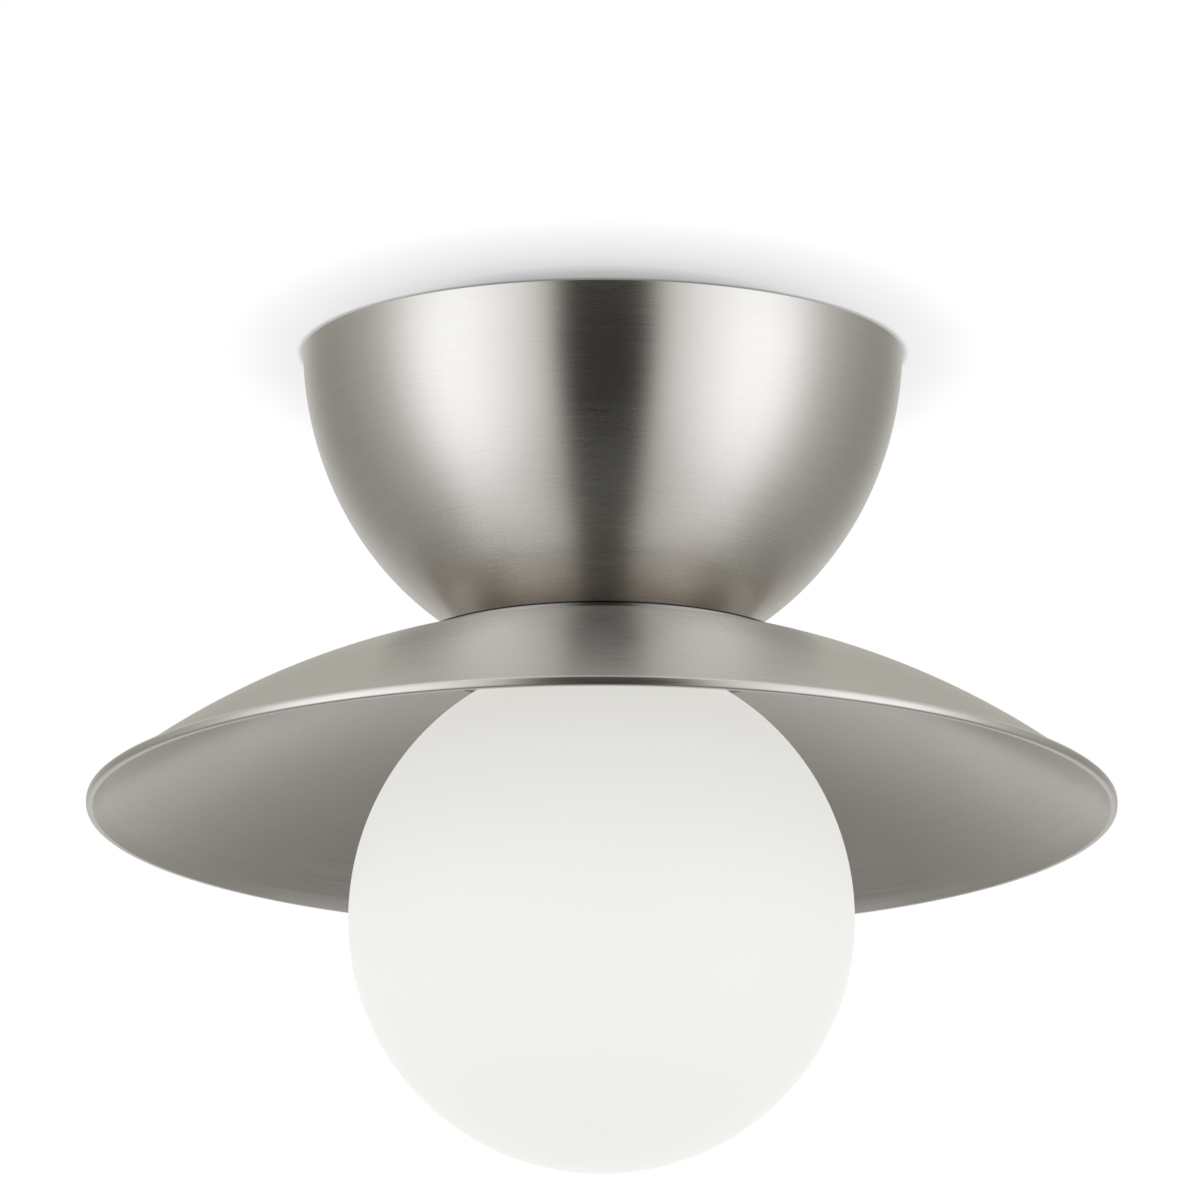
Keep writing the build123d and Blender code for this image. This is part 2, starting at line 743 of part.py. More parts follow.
def terminal_plate(y_inner, y_outer, rivet, screw):
    """A flat terminal on top of the lampholder, from y_inner out to y_outer."""
    with BuildSketch(Plane.XY.offset(z_holder_top)) as plate:
        with Locations((0, (y_inner + y_outer) / 2)):
            Rectangle(terminal_width, abs(y_outer - y_inner))
        with Locations(rivet):
            Circle(rivet_radius + thread_gap, mode=Mode.SUBTRACT)
        with Locations(screw):
            Circle(terminal_screw_radius + thread_gap, mode=Mode.SUBTRACT)
    extrude(plate.sketch, amount=terminal_thickness)


terminal_margin = rivet_radius + rivet_head_height
with BuildPart() as line_terminal:
    terminal_plate(-terminal_margin, terminal_reach, line_rivet, terminal_screw_centres[1])
line_terminal.part.label = "line_terminal"
export_step(line_terminal.part, "parts/line_terminal.step")

with BuildPart() as neutral_terminal:
    terminal_plate(
        -rivet_offset + terminal_margin,
        -terminal_reach,
        neutral_rivet,
        terminal_screw_centres[0],
    )
neutral_terminal.part.label = "neutral_terminal"
export_step(neutral_terminal.part, "parts/neutral_terminal.step")

with BuildPart() as terminal_screws:
    headed_pins(
        z_terminal_top,
        terminal_screw_centres,
        small_head_radius,
        small_head_height,
        terminal_screw_radius,
        terminal_screw_length,
    )
terminal_screws.part.label = "terminal_screws"
export_step(terminal_screws.part, "parts/terminal_screws.step")

# ---------------------------------------------------------------- lamp
with BuildPart() as bulb_tip_contact:
    with BuildSketch(Plane.XY.offset(z_tip)):
        Circle(lamp_tip_radius)
    extrude(amount=-lamp_tip_height)
    fillet(bulb_tip_contact.edges().group_by(Axis.Z)[-1], lamp_tip_height / 2)
bulb_tip_contact.part.label = "bulb_tip_contact"
export_step(bulb_tip_contact.part, "parts/bulb_tip_contact.step")

lamp_base_bore = lamp_thread_radius - thread_height - lamp_base_wall
with BuildPart() as bulb_insulator:
    with BuildSketch(Plane.XZ):
        with BuildLine():
            Polyline(
                (0, z_lamp_insulator),
                (lamp_insulator_radius, z_lamp_insulator),
                (lamp_base_bore, z_lamp_base),
                (0, z_lamp_base),
                close=True,
            )
        make_face()
    revolve(axis=Axis.Z)
bulb_insulator.part.label = "bulb_insulator"
export_step(bulb_insulator.part, "parts/bulb_insulator.step")

with BuildPart() as bulb_screw_base:
    with BuildSketch(Plane.XZ):
        rolled_shell(z_lamp_base, z_lamp_collar, lamp_base_bore, lamp_base_wall)
    revolve(axis=Axis.Z)
bulb_screw_base.part.label = "bulb_screw_base"
export_step(bulb_screw_base.part, "parts/bulb_screw_base.step")


def lamp_width(z, wall=0.0):
    """Radius of the lamp's round end at a level, less a wall."""
    return sqrt((lamp_radius - wall) ** 2 - (z - z_lamp_centre) ** 2)


lamp_joint_radius = lamp_width(z_lamp_joint)
lamp_spigot_radius = lamp_width(z_lamp_joint, lamp_diffuser_wall) - thread_gap
with BuildPart() as bulb_housing:
    with BuildSketch(Plane.XZ):
        with BuildLine():
            Polyline(
                (lamp_joint_radius, z_lamp_joint),
                (lamp_spigot_radius, z_lamp_joint),
                (lamp_spigot_radius, z_lamp_joint - lamp_spigot_length),
                (0, z_lamp_joint - lamp_spigot_length),
                (0, z_lamp_base),
                (lamp_base_bore - thread_gap, z_lamp_base),
                (lamp_base_bore - thread_gap, z_lamp_collar),
                (lamp_collar_radius, z_lamp_collar),
            )
            Spline(
                (lamp_collar_radius, z_lamp_collar),
                (lamp_joint_radius, z_lamp_joint),
                tangents=((0, -1), (z_lamp_joint - z_lamp_centre, -lamp_joint_radius)),
            )
        make_face()
    revolve(axis=Axis.Z)
bulb_housing.part.label = "bulb_housing"
export_step(bulb_housing.part, "parts/bulb_housing.step")

with BuildPart() as bulb_led_board:
    with BuildSketch(Plane.XY.offset(z_lamp_joint - lamp_spigot_length)):
        Circle(lamp_board_radius)
    extrude(amount=-lamp_board_thickness)
bulb_led_board.part.label = "bulb_led_board"
export_step(bulb_led_board.part, "parts/bulb_led_board.step")

with BuildPart() as bulb_diffuser:
    with BuildSketch(Plane.XZ):
        with Locations((0, z_lamp_centre)):
            Circle(lamp_radius)
            Circle(lamp_radius - lamp_diffuser_wall, mode=Mode.SUBTRACT)
        with Locations((0, z_lamp_joint)):
            Rectangle(
                lamp_radius,
                z_lamp_joint - z_lamp_centre + lamp_radius,
                align=(Align.MIN, Align.MAX),
                mode=Mode.INTERSECT,
            )
    revolve(axis=Axis.Z)
bulb_diffuser.part.label = "bulb_diffuser"
export_step(bulb_diffuser.part, "parts/bulb_diffuser.step")

# ---------------------------------------------------------------- bonding screw and lugs
with BuildPart() as ground_screw:
    headed_pins(
        -strap_thickness - lug_thickness,
        ((-ground_screw_offset, 0),),
        ground_head_radius,
        ground_head_height,
        ground_screw_radius,
        strap_thickness + lug_thickness - stud_recess,
        up=-1,
    )
ground_screw.part.label = "ground_screw"
export_step(ground_screw.part, "parts/ground_screw.step")

upper_seat = Plane(
    origin=(-ground_screw_offset, 0, -strap_thickness), x_dir=(0, 1, 0), z_dir=(0, 0, -1)
)
lower_seat = Plane(origin=(0, 0, z_washer_top), x_dir=(-1, 1, 0), z_dir=(0, 0, 1))
upper_lug_hole = ground_screw_radius + hole_gap
lower_lug_hole = nipple_radius + hole_gap

with BuildPart() as ground_ring_upper:
    ring_terminal(upper_seat, upper_lug_hole)
ground_ring_upper.part.label = "ground_ring_upper"
export_step(ground_ring_upper.part, "parts/ground_ring_upper.step")

with BuildPart() as ground_ring_lower:
    ring_terminal(lower_seat, lower_lug_hole)
ground_ring_lower.part.label = "ground_ring_lower"
export_step(ground_ring_lower.part, "parts/ground_ring_lower.step")

# ---------------------------------------------------------------- leads and connectors
lead_stop = terminal_screw_offset - small_head_radius - seat_gap
z_bushing_top = z_nipple_top + bushing_flange


def socket_lead_route(side, loose_points):
    """Route of one lead from its terminal up through the nipple and into the canopy."""
    return [
        (0, side * lead_stop, z_lead_end),
        (0, side * lead_offset, z_lead_end),
        (0, side * lead_offset, z_bushing_top + lead_rise),
    ] + loose_points


line_route = socket_lead_route(1, line_loose_points)
neutral_route = socket_lead_route(-1, neutral_loose_points)
lower_lug_point = lower_seat.from_local_coords(
    Vector(lug_lead_start(lower_lug_hole), 0, lug_barrel_radius)
)
upper_lug_point = upper_seat.from_local_coords(
    Vector(lug_lead_start(upper_lug_hole), 0, lug_barrel_radius)
)
ground_route = [
    tuple(lower_lug_point),
    (*ground_lower_turn, lower_lug_point.Z),
    *ground_loose_points,
    (upper_lug_point.X, ground_upper_turn, upper_lug_point.Z),
    tuple(upper_lug_point),
]


def socket_lead_radii(route):
    """The tight bend at the terminal, then bends as large as the runs allow."""
    return [lead_bend] + corner_radii(route[1:], lead_spread)


with BuildPart() as line_lead:
    line_length = lead(line_route, socket_lead_radii(line_route))
line_lead.part.label = "line_lead"
export_step(line_lead.part, "parts/line_lead.step")

with BuildPart() as neutral_lead:
    neutral_length = lead(neutral_route, socket_lead_radii(neutral_route))
neutral_lead.part.label = "neutral_lead"
export_step(neutral_lead.part, "parts/neutral_lead.step")

with BuildPart() as ground_lead:
    ground_length = lead(ground_route, corner_radii(ground_route, lead_spread))
ground_lead.part.label = "ground_lead"
export_step(ground_lead.part, "parts/ground_lead.step")

lead_lengths = (
    (line_lead, line_length),
    (neutral_lead, neutral_length),
    (ground_lead, ground_length),
)
for tube, length in lead_lengths:
    share = tube.part.volume / (pi * lead_radius**2 * length)
    print(tube.part.label, "volume over section times length", round(share, 4))

with BuildPart() as line_wire_connector:
    wire_connector(line_route)
line_wire_connector.part.label = "line_wire_connector"
export_step(line_wire_connector.part, "parts/line_wire_connector.step")

with BuildPart() as neutral_wire_connector:
    wire_connector(neutral_route)
neutral_wire_connector.part.label = "neutral_wire_connector"
export_step(neutral_wire_connector.part, "parts/neutral_wire_connector.step")
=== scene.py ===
"""Flush mount ceiling light: finishes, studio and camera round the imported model.

Metres, in the model's own frame: the ceiling is the plane z = 0, the light hangs below it
on the Z axis, and the camera looks up at it from the -Y side.
"""
import json
from math import acos, asin, copysign, cos, pi, radians, sin, sqrt

import bmesh
import bpy
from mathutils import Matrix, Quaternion, Vector


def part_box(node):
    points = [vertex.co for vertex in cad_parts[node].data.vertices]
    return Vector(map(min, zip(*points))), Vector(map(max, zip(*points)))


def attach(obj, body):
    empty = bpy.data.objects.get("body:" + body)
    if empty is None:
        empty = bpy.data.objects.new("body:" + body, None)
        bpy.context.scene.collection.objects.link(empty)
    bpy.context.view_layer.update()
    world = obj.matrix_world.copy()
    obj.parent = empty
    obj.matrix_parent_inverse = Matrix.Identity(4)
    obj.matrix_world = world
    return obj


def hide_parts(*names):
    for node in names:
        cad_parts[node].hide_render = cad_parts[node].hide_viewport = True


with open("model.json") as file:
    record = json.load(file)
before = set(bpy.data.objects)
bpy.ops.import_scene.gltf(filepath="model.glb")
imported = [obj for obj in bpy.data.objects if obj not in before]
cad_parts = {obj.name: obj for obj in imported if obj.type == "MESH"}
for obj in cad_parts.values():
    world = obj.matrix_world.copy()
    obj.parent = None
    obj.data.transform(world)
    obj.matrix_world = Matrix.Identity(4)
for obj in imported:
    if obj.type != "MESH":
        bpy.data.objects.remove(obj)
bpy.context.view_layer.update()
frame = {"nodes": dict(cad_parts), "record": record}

# ---------------------------------------------------------------- sizes
# Canopy
canopy_floor_radius = 0.0344
canopy_curve_rise = 0.00285
canopy_wall = 0.001

# Dish shade
bead_radius = 0.00173
bead_start = 130          # the bead's arc, in degrees
bead_end = -100
bead_squareness = 1.5
bead_neck = 1.15          # the dish's top meets the bead this many bead radii inside its ring
bead_run_in = 0.0035      # how far in from the bead its underside meets the dish's
dome_radius = 0.2819
shade_wall = 0.0012
plateau_radius = 0.068
plateau_step = 0.00193
plateau_round = 0.001

# Globe
globe_shoulder_height = 0.0914
globe_wall = 0.003
neck_radius = 0.0385
neck_round = 0.001

# Spun meshes
spin_steps = 360
wall_steps = 80           # along the canopy's wall
dome_steps = 90           # along the dish, and along the globe's lower half
shoulder_steps = 60       # along the globe's upper half, and round the dish's bead
round_steps = 8
lip_steps = 6
sharp_turn = radians(32)
on_axis = 1e-9            # a point nearer to the axis than this lies on it


def box_radius(node_name):
    """The radius that fits inside a node's box on all four sides."""
    low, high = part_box(node_name)
    return min(-low.x, -low.y, high.x, high.y)


canopy_radius = box_radius("canopy")
canopy_depth = -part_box("canopy")[0].z
bead_ring = box_radius("shade_dish") - bead_radius
z_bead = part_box("shade_dish")[0].z + bead_radius
z_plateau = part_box("shade_dish")[1].z
globe_radius = box_radius("globe_glass")
z_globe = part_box("globe_glass")[0].z + globe_radius
z_neck_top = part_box("globe_glass")[1].z


# ---------------------------------------------------------------- mesh helpers
def arc(centre, radii, start, end, steps, squareness=1.0):
    """Points along an ellipse's arc between two angles in degrees; squareness over 1 tightens
    its corners."""

    def reach(share):
        return copysign(abs(share) ** (1 / squareness), share)

    turns = [radians(start + (end - start) * k / steps) for k in range(steps + 1)]
    return [
        (centre[0] + radii[0] * reach(cos(t)), centre[1] + radii[1] * reach(sin(t)))
        for t in turns
    ]


def dome(radius, low, high, steps):
    """Points along the shade's dome, from one distance off the axis to another."""
    centre = z_plateau - plateau_step - sqrt(dome_radius**2 - plateau_radius**2)
    start, end = asin(low / radius), asin(high / radius)
    turns = [start + (end - start) * k / steps for k in range(steps + 1)]
    return [(radius * sin(t), centre + radius * cos(t)) for t in turns]


def spin(name, section):
    """Turn a section of (radius, level) points, with its ends on the axis, into a mesh."""
    shape = bmesh.new()
    rings = []
    for radius, level in section:
        if radius < on_axis:
            rings.append([shape.verts.new((0, 0, level))])
            continue
        turns = [2 * pi * k / spin_steps for k in range(spin_steps)]
        rings.append([shape.verts.new((radius * cos(t), radius * sin(t), level)) for t in turns])
    for near, far in zip(rings, rings[1:]):
        for k in range(spin_steps):
            after = (k + 1) % spin_steps
            corners = (
                near[k % len(near)],
                near[after % len(near)],
                far[after % len(far)],
                far[k % len(far)],
            )
            shape.faces.new(list(dict.fromkeys(corners)))
    bmesh.ops.recalc_face_normals(shape, faces=shape.faces)
    mesh = bpy.data.meshes.new(name)
    shape.to_mesh(mesh)
    shape.free()
    mesh.shade_smooth()
    mesh.set_sharp_from_angle(angle=sharp_turn)
    piece = bpy.data.objects.new(name, mesh)
    bpy.context.scene.collection.objects.link(piece)
    return piece


# ---------------------------------------------------------------- node helpers
noise_low = 0.3           # the part of a noise's range that the finishes use
noise_high = 0.7


def node(tree, kind, settings=None, **inputs):
    """Add a shader node. Inputs are named, or i0, i1 by number, and are values or outputs."""
    made = tree.nodes.new("ShaderNode" + kind)
    for key, value in (settings or {}).items():
        setattr(made, key, value)
    for key, value in inputs.items():
        socket = made.inputs[int(key[1:]) if key[1:].isdigit() else key.replace("_", " ")]
        if isinstance(value, bpy.types.NodeSocket):
            tree.links.new(value, socket)
        else:
            socket.default_value = value
    return made


def math(tree, operation, first, second=0.0):
    """One Math node's output."""
    return node(tree, "Math", {"operation": operation}, i0=first, i1=second).outputs[0]


def spread(tree, value, low, high, new_low, new_high):
    """Map a value from one range to another, and hold it there."""
    made = node(tree, "MapRange", Value=value, From_Min=low, From_Max=high,
                To_Min=new_low, To_Max=new_high)
    return made.outputs[0]


def mix_colours(tree, share, first, second, blend="MIX"):
    """One Mix node's colour; its inputs 6 and 7 and its output 2 are the ones for colours."""
    made = node(tree, "Mix", {"data_type": "RGBA", "blend_type": blend}, Factor=share,
                i6=first, i7=second)
    return made.outputs[2]


def blend_colours(tree, share, first, second):
    """Mix two constant colours by a share."""
    return mix_colours(tree, share, (*first, 1), (*second, 1))


def multiply_colours(tree, first, second):
    """Multiply two colours that come from other nodes."""
    return mix_colours(tree, 1.0, first, second, "MULTIPLY")


def principled(name, **constants):
    """A material with one Principled shader and its constant sockets."""
    made = bpy.data.materials.new(name)
    made.use_nodes = True
    skin = made.node_tree.nodes["Principled BSDF"]
    for key, value in constants.items():
        skin.inputs[key.replace("_", " ")].default_value = value
    return made, made.node_tree, skin


def object_place(tree):
    """The place on the object, in metres."""
    return node(tree, "TexCoord").outputs["Object"]


def noise(tree, place, size, detail=2.0, roughness=0.5):
    """Noise with features of about the given size in metres."""
    made = node(tree, "TexNoise", Vector=place, Scale=1 / size, Detail=detail,
                Roughness=roughness)
    return made.outputs["Fac"]


def evened(tree, value, new_low, new_high):
    """Spread the middle of a noise's range over a new one."""
    return spread(tree, value, noise_low, noise_high, new_low, new_high)


def scaled(tone, share):
    """A colour made lighter or darker."""
    return tuple(share * part for part in tone)


def bump(tree, skin, height, strength, depth):
    """Give the skin a fine relief of the given depth in metres."""
    made = node(tree, "Bump", Height=height, Strength=strength, Distance=depth)
    tree.links.new(made.outputs[0], skin.inputs["Normal"])


# ---------------------------------------------------------------- finishes
nickel_tone = (0.715, 0.705, 0.69)
edge_tint = (0.86, 0.86, 0.85, 1)        # what it keeps of a glancing reflection
line_width = 0.00035
line_length = 0.028
line_depth = 0.00002
brushed_rough = (0.24, 0.29)
broad_rough = 0.02        # how much slow changes over the piece add or take
least_radius = 1e-4       # keeps the brushed lines' pattern finite on the axis


def radius_and_level(tree):
    """Distance from the Z axis, and height on it."""
    parts = node(tree, "SeparateXYZ", Vector=object_place(tree)).outputs
    flat = node(tree, "CombineXYZ", X=parts[0], Y=parts[1]).outputs[0]
    length = node(tree, "VectorMath", {"operation": "LENGTH"}, i0=flat)
    return math(tree, "MAXIMUM", length.outputs["Value"], least_radius), parts[2]


def spun_lines(tree, width, length, reach):
    """Noise drawn out round the Z axis: the fine lines that a lathe's abrasive leaves."""
    parts = node(tree, "SeparateXYZ", Vector=object_place(tree)).outputs
    radius = radius_and_level(tree)[0]
    turn = reach / length
    side = math(tree, "MULTIPLY", math(tree, "DIVIDE", parts[0], radius), turn)
    front = math(tree, "MULTIPLY", math(tree, "DIVIDE", parts[1], radius), turn)
    across = node(tree, "CombineXYZ", X=math(tree, "DIVIDE", radius, width),
                  Y=math(tree, "DIVIDE", parts[2], width), Z=side).outputs[0]
    made = node(tree, "TexNoise", {"noise_dimensions": "4D"}, Vector=across, W=front, Scale=1.0,
                Detail=3.0, Roughness=0.65)
    return made.outputs["Fac"]


def brushed_nickel(name, reach, duller=0.0, shadow=None, painted_highlight=None):
    """Nickel brushed on a lathe. Reach is the piece's usual radius and duller adds roughness;
    shadow gives its painted shade, and the other mask its less metallic places, a painted
    highlight, from the radius and level."""
    made, tree, skin = principled(name, Metallic=1.0, Anisotropic=0.85, Anisotropic_Rotation=0.25,
                                  Specular_Tint=edge_tint)
    lines = spun_lines(tree, line_width, line_length, reach)
    broad = noise(tree, object_place(tree), 0.05)
    dull, bright = scaled(nickel_tone, 0.95), scaled(nickel_tone, 1.03)
    colour = blend_colours(tree, evened(tree, lines, 0, 1), dull, bright)
    radius, level = radius_and_level(tree)
    # painted shade darkens the colour
    if shadow:
        colour = multiply_colours(tree, colour, shadow(tree, radius, level))
    # the less metallic places stand in for a painted highlight
    if painted_highlight:
        tree.links.new(painted_highlight(tree, radius, level), skin.inputs["Metallic"])
    tree.links.new(colour, skin.inputs["Base Color"])
    fine_part = evened(tree, lines, brushed_rough[0] + duller, brushed_rough[1] + duller)
    broad_part = evened(tree, broad, -broad_rough, broad_rough)
    tree.links.new(math(tree, "ADD", fine_part, broad_part), skin.inputs["Roughness"])
    tangent = node(tree, "Tangent", {"direction_type": "RADIAL", "axis": "Z"}).outputs[0]
    tree.links.new(tangent, skin.inputs["Tangent"])
    bump(tree, skin, lines, 0.12, line_depth)
    return made


glass_painted_glow = 0.655        # painted glow: emission standing in for light scattered through the opal glass from its other side
painted_glow_tone = (1.0, 0.995, 0.965, 1)
glass_tones = ((0.265, 0.265, 0.258), (0.28, 0.28, 0.273))
shoulder_shade_tone = (0.60, 0.50, 0.30)
shoulder_start = 0.045    # painted shade: the glass darkens and warms towards its neck between these heights over its centre, under the dish
shoulder_full = 0.070


def opal_glass(name):
    """Satin opal glass: white through its body, with a painted glow all over and painted shade,
    darker and warmer, towards its neck under the dish.
    """
    # a painted glow: the glass gives off light though no lamp is lit
    made, tree, skin = principled(name, Specular_IOR_Level=0.1, Emission_Strength=glass_painted_glow,
                                  Emission_Color=painted_glow_tone)
    broad = noise(tree, object_place(tree), 0.06, detail=1.0)
    colour = blend_colours(tree, broad, *glass_tones)
    level = radius_and_level(tree)[1]
    # painted shade and painted reflection: darker and warmer towards the neck
    shoulder = spread(tree, level, z_globe + shoulder_start, z_globe + shoulder_full, 0.0, 1.0)
    neck_shade = blend_colours(tree, shoulder, (1.0, 1.0, 1.0), shoulder_shade_tone)
    tree.links.new(multiply_colours(tree, colour, neck_shade), skin.inputs["Base Color"])
    fine = noise(tree, object_place(tree), 0.0012, detail=2.0)
    tree.links.new(evened(tree, fine, 0.40, 0.48), skin.inputs["Roughness"])
    bump(tree, skin, fine, 0.05, 0.00002)
    return made


def plain_metal(name, tone, low, high, grain=0.0008):
    """Plated or bare metal with a fine uneven grain."""
    made, tree, skin = principled(name, Metallic=1.0)
    fine = noise(tree, object_place(tree), grain, detail=3.0)
    broad = noise(tree, object_place(tree), 0.012)
    both = math(tree, "MULTIPLY", math(tree, "ADD", fine, broad), 0.5)
    mottle = spread(tree, both, 0.35, 0.65, 0, 1)
    colour = blend_colours(tree, mottle, scaled(tone, 0.82), tone)
    tree.links.new(colour, skin.inputs["Base Color"])
    tree.links.new(spread(tree, both, 0.35, 0.65, low, high), skin.inputs["Roughness"])
    bump(tree, skin, fine, 0.2, 0.00003)
    return made


def moulded(name, tone, low, high, grain=0.0006, coat=0.0):
    """Plastic, rubber or glazed ware with a slightly mottled skin."""
    made, tree, skin = principled(name, Coat_Weight=coat, Coat_Roughness=0.08)
    fine = noise(tree, object_place(tree), grain, detail=2.0)
    broad = noise(tree, object_place(tree), 0.02)
    colour = blend_colours(tree, broad, scaled(tone, 0.93), tone)
    tree.links.new(colour, skin.inputs["Base Color"])
    tree.links.new(evened(tree, fine, low, high), skin.inputs["Roughness"])
    bump(tree, skin, fine, 0.12, 0.00003)
    return made


finishes = {
    "zinc_steel": plain_metal("zinc_steel", (0.62, 0.63, 0.64), 0.28, 0.42),
    "green_steel": plain_metal("green_steel", (0.12, 0.42, 0.17), 0.30, 0.45),
    "brass": plain_metal("brass", (0.80, 0.62, 0.31), 0.22, 0.38),
    "lamp_cap": plain_metal("lamp_cap", (0.80, 0.80, 0.78), 0.25, 0.40),
    "porcelain": moulded("porcelain", (0.88, 0.87, 0.83), 0.22, 0.32, coat=0.6),
    "silicone": moulded("silicone", (0.82, 0.82, 0.80), 0.5, 0.65),
    "white_plastic": moulded("white_plastic", (0.88, 0.88, 0.87), 0.40, 0.52),
    "black_glass": moulded("black_glass", (0.03, 0.03, 0.035), 0.08, 0.15),
    "black_insulation": moulded("black_insulation", (0.03, 0.03, 0.03), 0.35, 0.5),
    "white_insulation": moulded("white_insulation", (0.85, 0.85, 0.83), 0.35, 0.5),
    "green_insulation": moulded("green_insulation", (0.07, 0.36, 0.12), 0.35, 0.5),
    "orange_plastic": moulded("orange_plastic", (0.85, 0.30, 0.04), 0.35, 0.5),
    "brushed_nickel": brushed_nickel("brushed_nickel", 0.04),
    "opal_glass": opal_glass("opal_glass"),
}

for subpart in frame["record"]["subparts"]:
    for slot in frame["nodes"][subpart["node"]].material_slots:
        slot.material = finishes[subpart["material_slot"]]


def dress(piece, body, node_name, finish):
    """Give a spun piece its finish, and let it stand for its node."""
    piece.data.materials.append(finish)
    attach(piece, body)
    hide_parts(node_name)


# ---------------------------------------------------------------- canopy
floor_drop = canopy_depth + canopy_curve_rise
canopy_height = sqrt(
    ((canopy_radius * floor_drop) ** 2 - (canopy_floor_radius * canopy_curve_rise) ** 2)
    / (canopy_radius**2 - canopy_floor_radius**2)
)
canopy_width = canopy_radius / sqrt(1 - (canopy_curve_rise / canopy_height) ** 2)


def canopy_side(wall, level_low, level_high, steps):
    """Points up the canopy's wall between two levels, offset inwards by a wall."""
    tall, wide = canopy_height - wall, canopy_width - wall
    start = asin((level_low - canopy_curve_rise) / tall)
    end = asin((level_high - canopy_curve_rise) / tall)
    turns = [start + (end - start) * k / steps for k in range(steps + 1)]
    return [(wide * cos(t), canopy_curve_rise + tall * sin(t)) for t in turns]


canopy = spin(
    "canopy_shell",
    [(0, -canopy_depth)]
    + canopy_side(0, -canopy_depth, 0, wall_steps)
    + canopy_side(canopy_wall, 0, -canopy_depth + canopy_wall, wall_steps)
    + [(0, -canopy_depth + canopy_wall)],
)
# painted shade: the canopy's foot is darker and warmer in colour
foot_shadow_tone = (0.84, 0.79, 0.73)
foot_low = -0.98 * canopy_depth     # the foot's painted shade fades out between these levels
foot_high = -0.72 * canopy_depth


def foot_shadow(tree, _radius, level):
    """Painted shade: the canopy's colour darkens and warms towards its foot, next to the dish,
    where the dish shades it.
    """
    share = spread(tree, level, foot_low, foot_high, 0.0, 1.0)
    return blend_colours(tree, share, foot_shadow_tone, (1.0, 1.0, 1.0))


canopy_nickel = brushed_nickel("canopy_nickel", 0.09, shadow=foot_shadow)
dress(canopy, "fixture", "canopy", canopy_nickel)

# ---------------------------------------------------------------- dish shade
joint_depth = 0.0008      # how far down the step its painted dark shadow line runs
# painted shadow tones: the line's, and the step's below it
joint_shadow_tone = 0.02
step_shade_tone = 0.5
crown_radius = bead_ring - 0.0022   # the bead's less metallic crown, a painted highlight, starts here and over crown_level
crown_level = z_bead + 0.0009
crown_metal = 0.6


def joint_shadow(tree, radius, level):
    """Painted shade: a dark shadow line runs round the top of the step, under the canopy's foot,
    and the step is painted greyer below it.
    """
    z_line = z_plateau - joint_depth
    edge = plateau_radius
    step = spread(tree, level, z_line - 0.0002, z_line + 0.0002, step_shade_tone, joint_shadow_tone)
    inside = spread(tree, radius, edge - 0.0012, edge - 0.0009, 1.0, 0.0)
    outside = spread(tree, radius, edge + 0.0001, edge + 0.0006, 0.0, 1.0)
    return math(tree, "MAXIMUM", step, math(tree, "MAXIMUM", inside, outside))


def crown_painted_highlight(tree, radius, level):
    """Painted highlight: less metallic on top of the bead, so its own colour shows as a light
    line along the crown.
    """
    high = spread(tree, level, crown_level, crown_level + 0.0005, 0.0, 1.0)
    out = spread(tree, radius, crown_radius, crown_radius + 0.0004, 0.0, 1.0)
    return spread(tree, math(tree, "MULTIPLY", high, out), 0.0, 1.0, 1.0, crown_metal)


shade_nickel = brushed_nickel("shade_nickel", 0.13, 0.03, joint_shadow, crown_painted_highlight)
bead_centre = dome(dome_radius, plateau_radius, bead_ring, 1)[-1]
inner_dome = dome_radius - shade_wall
riser_inner = plateau_radius - shade_wall
z_underside = z_plateau - shade_wall
round_centre = (plateau_radius - plateau_round, z_plateau - plateau_round)
bead_radii = (bead_radius, bead_radius)
shade = spin(
    "shade_shell",
    [(0, z_plateau)]
    + arc(round_centre, (plateau_round, plateau_round), 90, 0, round_steps)
    + dome(dome_radius, plateau_radius, bead_ring - bead_radius * bead_neck, dome_steps)
    + arc(bead_centre, bead_radii, bead_start, bead_end, shoulder_steps, bead_squareness)
    + dome(inner_dome, bead_ring - bead_run_in, riser_inner, dome_steps)
    + [(riser_inner, z_underside), (0, z_underside)],
)
dress(shade, "fixture", "shade_dish", shade_nickel)

# ---------------------------------------------------------------- globe
shoulder_turn = acos(neck_radius / globe_radius)
globe_bore = globe_radius - globe_wall
neck_bore = neck_radius - globe_wall
inner_height = globe_shoulder_height - globe_wall
inner_turn = acos(neck_bore / globe_bore)
middle = (0, z_globe)
z_lip = z_neck_top - neck_round
lip = (neck_round, neck_round)
outer_end, inner_start = shoulder_turn * 180 / pi, inner_turn * 180 / pi
globe = spin(
    "globe_shell",
    arc(middle, (globe_radius, globe_radius), -90, 0, dome_steps)
    + arc(middle, (globe_radius, globe_shoulder_height), 0, outer_end, shoulder_steps)[1:]
    + arc((neck_radius - neck_round, z_lip), lip, 0, 90, lip_steps)
    + arc((neck_bore + neck_round, z_lip), lip, 90, 180, lip_steps)
    + arc(middle, (globe_bore, inner_height), inner_start, 0, shoulder_steps)
    + arc(middle, (globe_bore, globe_bore), 0, -90, dome_steps)[1:],
)
dress(globe, "globe", "globe_glass", finishes["opal_glass"])

# ---------------------------------------------------------------- ceiling
ceiling_reach = 3.0
ceiling_level = 0.0004    # just clear of the faces that lie in the plane z = 0
shadow_side = 0.130       # half-axes of the painted soft shadow's edge on the ceiling
shadow_front = 0.185
contact_reach = 0.0022    # the painted dark shadow line where the rim meets the ceiling
contact_shadow_tone = 0.55
shadow_tones = (
    (0.50, 0.30), (0.60, 0.48), (0.67, 0.71), (0.75, 0.81), (0.83, 0.875), (0.91, 0.93),
    (1.0, 1.0),
)


